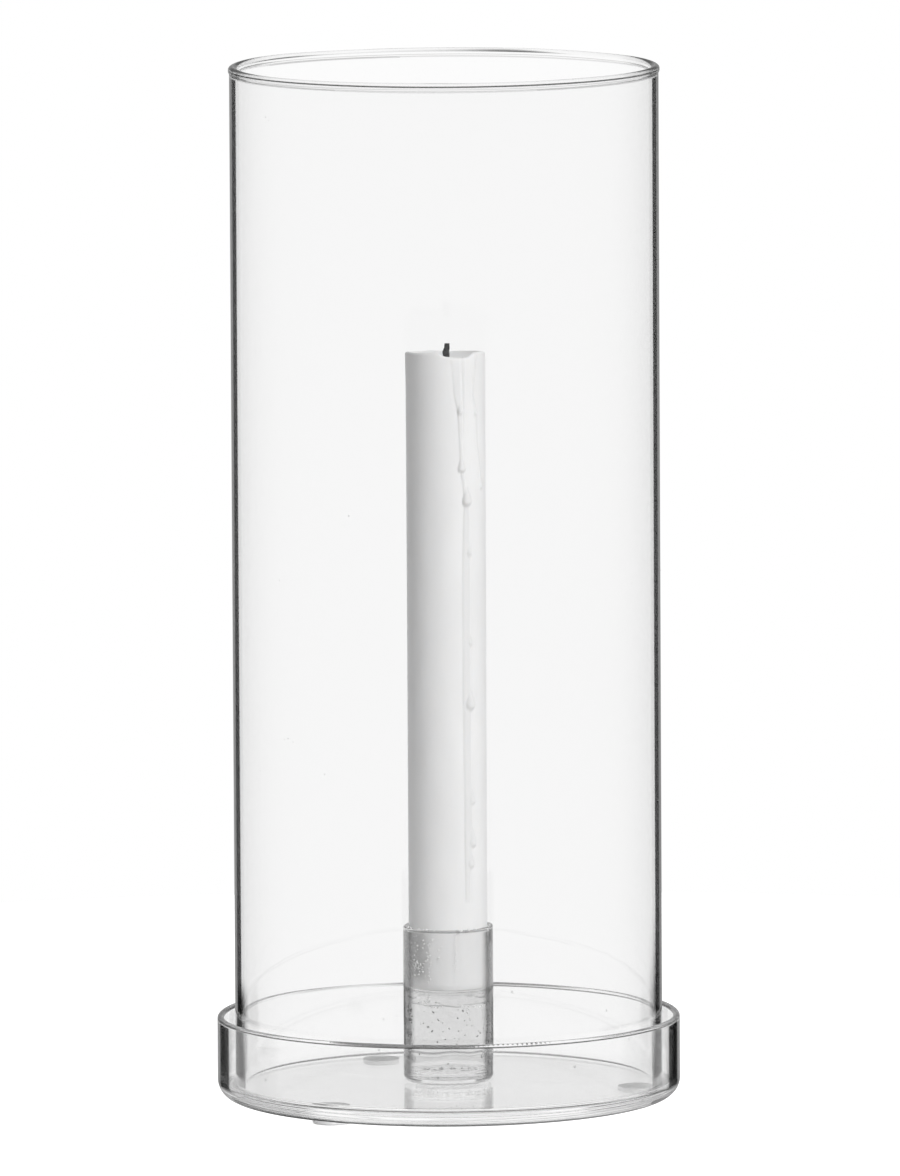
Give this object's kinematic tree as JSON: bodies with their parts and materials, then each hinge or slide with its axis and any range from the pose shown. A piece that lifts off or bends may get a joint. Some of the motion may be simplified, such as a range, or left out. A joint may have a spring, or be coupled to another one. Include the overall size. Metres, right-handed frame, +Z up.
{
  "type": "hurricane candle lantern",
  "caption": "Clear glass hurricane lantern: an open cylinder chimney stands loose in a shallow dish, over a burnt dinner candle held in a small glass cup.",
  "frame": {"origin": "on the table, under the middle of the dish", "axes": "+Z up along the chimney's axis, -Y towards the front, where the candle's pour lip is"},
  "size_m": [0.13, 0.13, 0.2923],
  "materials": {
    "clear_glass": "clear, fire polished",
    "clear_adhesive": "clear set film",
    "candle_wax": "white paraffin wax, satin",
    "charred_wick": "charred cotton",
    "clear_silicone": "translucent silicone, satin"
  },
  "bodies": {
    "base": {"base_dish": "clear_glass", "candle_cup": "clear_glass", "cup_bond": "clear_adhesive", "wax_ring": "candle_wax", "foot_pad_rear_left": "clear_silicone", "foot_pad_front_left": "clear_silicone", "foot_pad_right": "clear_silicone"},
    "chimney": {"chimney": "clear_glass"},
    "candle": {"candle": "candle_wax", "wick": "charred_wick"}
  },
  "joints": [
    {"name": "chimney_lift", "type": "slide", "parent": "base", "child": "chimney", "axis": [0, 0, 1], "range_m": [0, 0.22]},
    {"name": "candle_lift", "type": "slide", "parent": "base", "child": "candle", "axis": [0, 0, 1], "range_m": [0, 0.27]}
  ]
}
